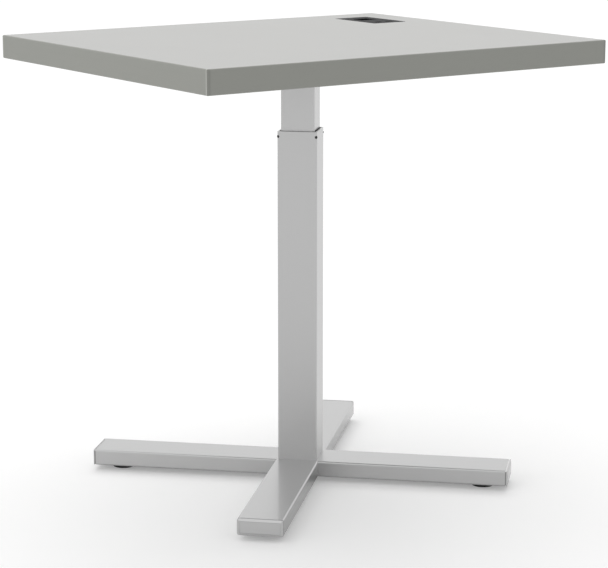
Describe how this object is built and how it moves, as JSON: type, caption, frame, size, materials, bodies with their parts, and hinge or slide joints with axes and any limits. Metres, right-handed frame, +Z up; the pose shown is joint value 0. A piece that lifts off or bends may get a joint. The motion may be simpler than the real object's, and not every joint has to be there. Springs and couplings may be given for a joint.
{
  "type": "standing desk",
  "caption": "Height-adjustable desk: rectangular laminated top with a cable port, one square telescoping column with gas lift and hand release, flush cross base on levelling glides.",
  "frame": {"origin": "on the floor, under the axis of the column, at the pictured height of the desk", "axes": "+X to the seated user's right along the top's long side, +Y to the top's back edge, +Z up"},
  "size_m": [0.762, 0.635, 0.745],
  "materials": {
    "laminate": "fine-textured high-pressure laminate, pale grey",
    "edge_band": "satin edge band, mid grey",
    "board": "raw particleboard",
    "painted_steel": "silver powder coat, semi-gloss, fine metallic",
    "cap_plastic": "silver moulded plastic, satin",
    "zinc_steel": "bright zinc plate",
    "chrome_rod": "hard chrome, polished",
    "black_steel": "black paint, semi-gloss",
    "black_plastic": "fine-grained black moulding",
    "guide_plastic": "mid-grey acetal, machined",
    "port_plastic": "charcoal moulding, fine grain",
    "rubber": "matt black rubber"
  },
  "bodies": {
    "base": {"outer_tube": "painted_steel", "foot_plate": "zinc_steel", "foot_bolts": "zinc_steel", "upper_guide": "guide_plastic", "guide_pegs": "black_plastic", "gas_cylinder": "black_steel", "rod_guide": "zinc_steel", "base_rail": "painted_steel", "base_arm_left": "painted_steel", "base_arm_right": "painted_steel", "end_cap_front": "cap_plastic", "end_cap_back": "cap_plastic", "end_cap_left": "cap_plastic", "end_cap_right": "cap_plastic", "glide_inserts": "zinc_steel"},
    "worktop": {"top_core": "board", "top_laminate": "laminate", "backer_sheet": "laminate", "edge_band_front": "edge_band", "edge_band_back": "edge_band", "edge_band_left": "edge_band", "edge_band_right": "edge_band", "port_liner": "port_plastic", "port_plate": "port_plastic", "charging_module": "black_plastic", "charging_sockets": "zinc_steel", "power_inlet": "black_plastic", "port_clamps": "zinc_steel", "clamp_screws": "zinc_steel", "inner_tube": "painted_steel", "lower_guide": "guide_plastic", "piston_rod": "chrome_rod", "gas_piston": "black_plastic", "rod_nuts": "zinc_steel", "rod_bridge": "zinc_steel", "top_bracket": "painted_steel", "bracket_screws": "zinc_steel", "lever_clevis": "zinc_steel", "clevis_rivets": "zinc_steel", "pivot_pin": "zinc_steel", "pivot_clip": "zinc_steel", "lever_stop": "rubber"},
    "lever": {"release_lever": "painted_steel", "lever_grip": "black_plastic"},
    "valve": {"valve_pin": "zinc_steel"},
    "glide_back": {"glide_pad_back": "black_plastic"},
    "stem_back": {"glide_stem_back": "zinc_steel"},
    "glide_left": {"glide_pad_left": "black_plastic"},
    "stem_left": {"glide_stem_left": "zinc_steel"},
    "glide_front": {"glide_pad_front": "black_plastic"},
    "stem_front": {"glide_stem_front": "zinc_steel"},
    "glide_right": {"glide_pad_right": "black_plastic"},
    "stem_right": {"glide_stem_right": "zinc_steel"}
  },
  "joints": [
    {"name": "lift", "type": "slide", "parent": "base", "child": "worktop", "axis": [0, 0, 1], "range_m": [-0.075, 0.3]},
    {"name": "release", "type": "hinge", "parent": "worktop", "child": "lever", "pos_m": [0.038, 0, 0.69], "axis": [0, -1, 0], "range_deg": [0, 3.2], "stiffness_Nm_per_rad": 20, "springref_deg": -2.86},
    {"name": "valve_press", "type": "slide", "parent": "worktop", "child": "valve", "axis": [0, 0, 1], "range_m": [-0.0022, 0]},
    {"name": "level_back", "type": "slide", "parent": "base", "child": "glide_back", "axis": [0, 0, -1], "range_m": [0, 0.01]},
    {"name": "screw_back", "type": "hinge", "parent": "glide_back", "child": "stem_back", "pos_m": [0.21991, 0.21991, 0.01], "axis": [0, 0, -1], "range_deg": [0, 2881]},
    {"name": "level_left", "type": "slide", "parent": "base", "child": "glide_left", "axis": [0, 0, -1], "range_m": [0, 0.01]},
    {"name": "screw_left", "type": "hinge", "parent": "glide_left", "child": "stem_left", "pos_m": [-0.21991, 0.21991, 0.01], "axis": [0, 0, -1], "range_deg": [0, 2881]},
    {"name": "level_front", "type": "slide", "parent": "base", "child": "glide_front", "axis": [0, 0, -1], "range_m": [0, 0.01]},
    {"name": "screw_front", "type": "hinge", "parent": "glide_front", "child": "stem_front", "pos_m": [-0.21991, -0.21991, 0.01], "axis": [0, 0, -1], "range_deg": [0, 2881]},
    {"name": "level_right", "type": "slide", "parent": "base", "child": "glide_right", "axis": [0, 0, -1], "range_m": [0, 0.01]},
    {"name": "screw_right", "type": "hinge", "parent": "glide_right", "child": "stem_right", "pos_m": [0.21991, -0.21991, 0.01], "axis": [0, 0, -1], "range_deg": [0, 2881]}
  ],
  "couplings": [
    {"joint": "valve_press", "follows": "release", "m_per_rad": -0.038},
    {"joint": "screw_back", "follows": "level_back", "rad_per_m": 5026.5},
    {"joint": "screw_left", "follows": "level_left", "rad_per_m": 5026.5},
    {"joint": "screw_front", "follows": "level_front", "rad_per_m": 5026.5},
    {"joint": "screw_right", "follows": "level_right", "rad_per_m": 5026.5}
  ]
}
